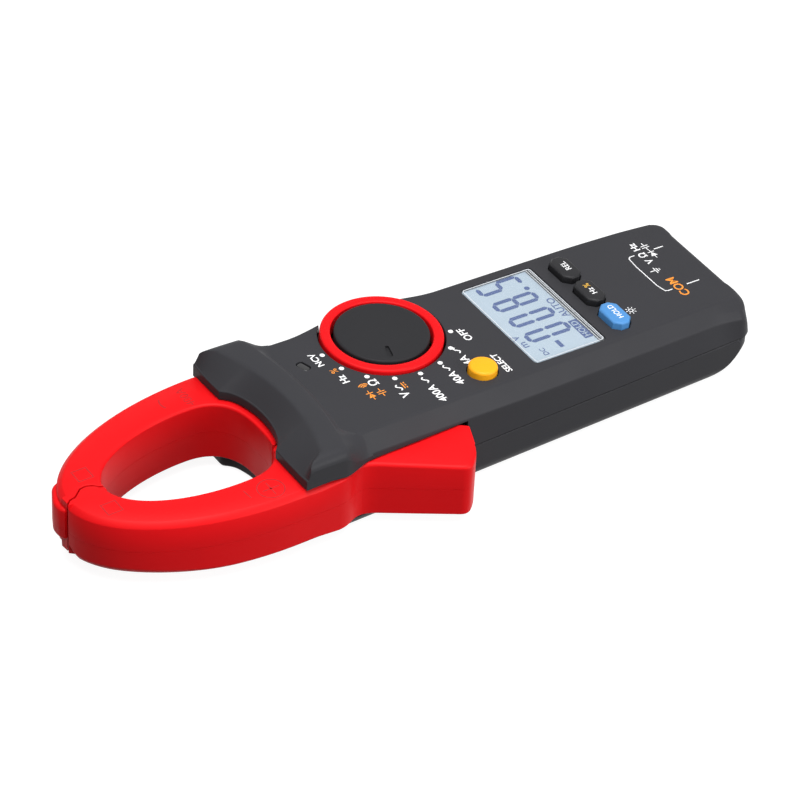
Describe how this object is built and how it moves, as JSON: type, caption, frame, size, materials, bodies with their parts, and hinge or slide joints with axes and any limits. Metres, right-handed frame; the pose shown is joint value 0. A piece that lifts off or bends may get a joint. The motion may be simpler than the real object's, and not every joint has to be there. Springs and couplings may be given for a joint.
{
  "type": "clamp meter",
  "caption": "Hand-held clamp meter with hinged red jaws, a side trigger, a rotary selector, a display and push buttons.",
  "frame": {"origin": "on the flat back, on the body's centre line, under the rotary selector", "axes": "+Y from the tail to the jaws, +Z out of the face, +X to the right when the face is looked at with the jaws up"},
  "size_m": [0.0715, 0.2142, 0.0323],
  "materials": {
    "body_grey": "fine moulded texture",
    "jaw_red": "fine moulded texture",
    "dial_grey": "fine moulded texture",
    "key_black": "satin",
    "key_blue": "satin",
    "key_yellow": "satin",
    "part_black": "satin",
    "frame_white": "satin",
    "window_clear": "polished",
    "display_glass": "polished",
    "light_panel": "gloss",
    "strip_grey": "matt",
    "board_green": "solder mask",
    "steel": "brushed",
    "spring_steel": "drawn wire",
    "core_iron": "laminated",
    "copper_wire": "enamelled",
    "brass": "plated",
    "lamp": "gloss",
    "cell_wrap": "printed film"
  },
  "bodies": {
    "meter": {"front_case": "body_grey", "rear_case": "body_grey", "case_screws": "steel", "fixed_jaw_front": "jaw_red", "fixed_jaw_rear": "jaw_red", "fixed_core": "core_iron", "coil_bobbin": "part_black", "pickup_coil": "copper_wire", "fixed_jaw_screws": "steel", "jaw_pivot_pin": "steel", "jaw_spring": "spring_steel", "detent_spring": "spring_steel", "switch_bases": "steel", "lens_window": "window_clear", "lcd_glass": "display_glass", "lcd_frame": "frame_white", "backlight_panel": "light_panel", "elastomer_strips": "strip_grey", "main_board": "board_green", "board_screws": "steel", "meter_chip": "part_black", "crystal_can": "steel", "buzzer": "part_black", "sense_plate": "copper_wire", "sense_lamp": "lamp", "lamp_window": "part_black", "jack_block": "part_black", "com_jack": "brass", "volt_jack": "brass", "jack_tabs": "brass", "batteries": "cell_wrap", "battery_springs": "spring_steel", "battery_plates": "steel"},
    "jaw": {"moving_jaw_front": "jaw_red", "moving_jaw_rear": "jaw_red", "moving_core": "core_iron", "jaw_screws": "steel"},
    "selector": {"dial_ring": "jaw_red", "dial_disc": "dial_grey", "dial_rotor": "part_black", "wiper_contacts": "brass"},
    "key_select": {"button_select": "key_yellow", "plunger_select": "part_black"},
    "key_rel": {"button_rel": "key_black", "plunger_rel": "part_black"},
    "key_hz": {"button_hz": "key_black", "plunger_hz": "part_black"},
    "key_hold": {"button_hold": "key_blue", "plunger_hold": "part_black"},
    "cover": {"battery_cover": "body_grey", "battery_screw": "steel"}
  },
  "joints": [
    {"name": "jaw_hinge", "type": "hinge", "parent": "meter", "child": "jaw", "pos_m": [-0.019, 0.04, 0.0142], "axis": [0, 0, 1], "range_deg": [0, 24], "stiffness_Nm_per_rad": 0.6, "springref_deg": -20.05, "deforming": ["jaw_spring"]},
    {"name": "dial_turn", "type": "hinge", "parent": "meter", "child": "selector", "pos_m": [0.0118, 0, 0.0289], "axis": [0, -0.0401, 0.9992], "range_deg": [-67.5, 90]},
    {"name": "press_select", "type": "slide", "parent": "meter", "child": "key_select", "axis": [0, 0.0401, -0.9992], "range_m": [0, 0.0008], "stiffness_N_per_m": 1500, "springref_m": -0.0003},
    {"name": "press_rel", "type": "slide", "parent": "meter", "child": "key_rel", "axis": [0, 0.0401, -0.9992], "range_m": [0, 0.0008], "stiffness_N_per_m": 1500, "springref_m": -0.0003},
    {"name": "press_hz", "type": "slide", "parent": "meter", "child": "key_hz", "axis": [0, 0.0401, -0.9992], "range_m": [0, 0.0008], "stiffness_N_per_m": 1500, "springref_m": -0.0003},
    {"name": "press_hold", "type": "slide", "parent": "meter", "child": "key_hold", "axis": [0, 0.0401, -0.9992], "range_m": [0, 0.0008], "stiffness_N_per_m": 1500, "springref_m": -0.0003},
    {"name": "cover_off", "type": "slide", "parent": "meter", "child": "cover", "axis": [0, 0, -1], "range_m": [0, 0.03]}
  ]
}
